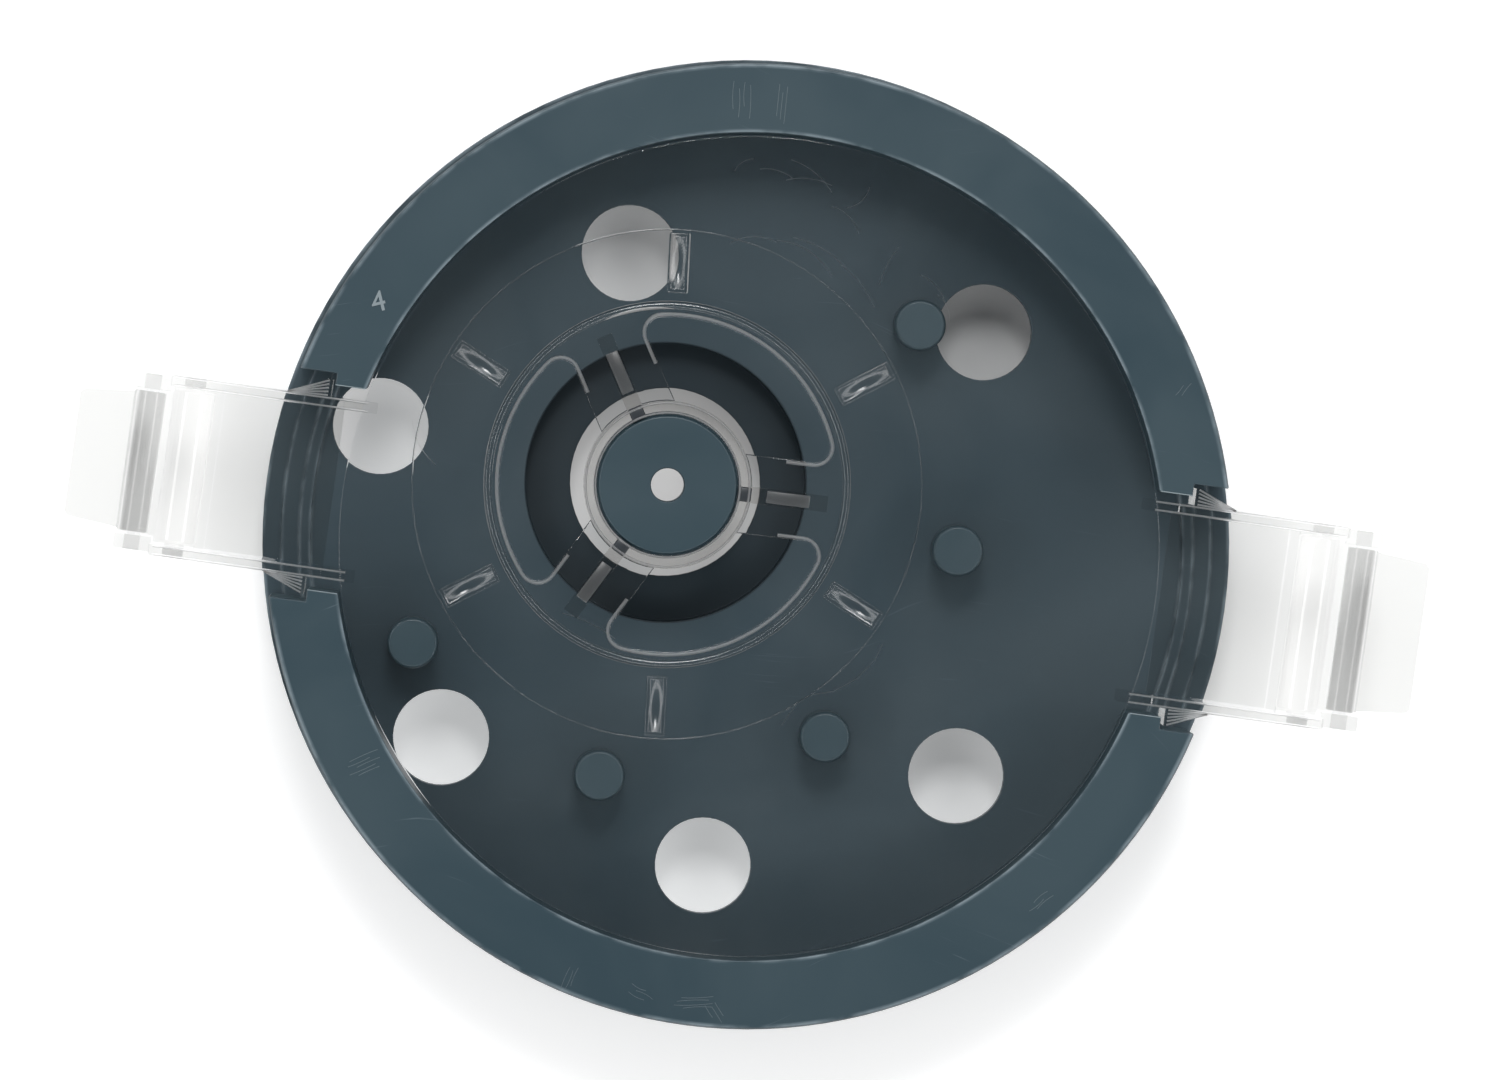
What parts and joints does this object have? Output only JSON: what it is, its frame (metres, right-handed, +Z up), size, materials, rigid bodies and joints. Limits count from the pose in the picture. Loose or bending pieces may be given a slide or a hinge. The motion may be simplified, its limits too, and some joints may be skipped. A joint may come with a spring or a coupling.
{
  "type": "film developing reel",
  "caption": "Round film developing reel: dark base with off-centre hub, flow holes and pegs, clear lift-off lid, two clear side channels with rollers and flaps.",
  "frame": {"origin": "centre of the base disc, on the plane that its skirt stands on", "axes": "+X along the two channels, towards the wider one, +Y across the disc towards the hub's side, +Z up out of the open face"},
  "size_m": [0.136, 0.0972, 0.0186],
  "materials": {
    "dark_moulding": "satin moulded plastic",
    "peg_plastic": "satin moulded plastic",
    "core_plastic": "satin moulded plastic",
    "clear_lid": "clear moulded plastic",
    "clear_collar": "clear moulded plastic",
    "clear_channel": "clear moulded plastic",
    "clear_roller": "clear polished plastic",
    "clear_gate": "clear, slightly frosted plastic",
    "clear_pin": "clear plastic pin"
  },
  "bodies": {
    "base": {"base_plate": "dark_moulding", "upper_rim": "dark_moulding", "lower_rim": "dark_moulding", "film_peg_1": "peg_plastic", "film_peg_2": "peg_plastic", "film_peg_3": "peg_plastic", "film_peg_4": "peg_plastic", "film_peg_5": "peg_plastic"},
    "lid": {"guide_plate": "clear_lid", "hub_collar": "clear_collar", "left_wing": "clear_channel", "right_wing": "clear_channel", "left_gate_pin": "clear_pin", "right_gate_pin": "clear_pin"},
    "core": {"core_drum": "core_plastic", "core_cap": "core_plastic"},
    "left_roller": {"left_roller": "clear_roller"},
    "right_roller": {"right_roller": "clear_roller"},
    "left_gate": {"left_gate": "clear_gate"},
    "right_gate": {"right_gate": "clear_gate"}
  },
  "joints": [
    {"name": "lid_lift", "type": "slide", "parent": "base", "child": "lid", "axis": [0, 0, 1], "range_m": [0, 0.02]},
    {"name": "core_spin", "type": "hinge", "parent": "lid", "child": "core", "pos_m": [-0.009, 0.005, 0.013], "axis": [0, 0, 1], "continuous": true},
    {"name": "left_roller_spin", "type": "hinge", "parent": "lid", "child": "left_roller", "pos_m": [-0.0567, 0, 0.0118], "axis": [0, 1, 0], "continuous": true},
    {"name": "right_roller_spin", "type": "hinge", "parent": "lid", "child": "right_roller", "pos_m": [0.0567, 0, 0.0118], "axis": [0, 1, 0], "continuous": true},
    {"name": "left_gate_hinge", "type": "hinge", "parent": "lid", "child": "left_gate", "pos_m": [-0.0609, 0, 0.0126], "axis": [0, 1, 0], "range_deg": [0, 100]},
    {"name": "right_gate_hinge", "type": "hinge", "parent": "lid", "child": "right_gate", "pos_m": [0.0609, 0, 0.0126], "axis": [0, -1, 0], "range_deg": [0, 100]}
  ]
}
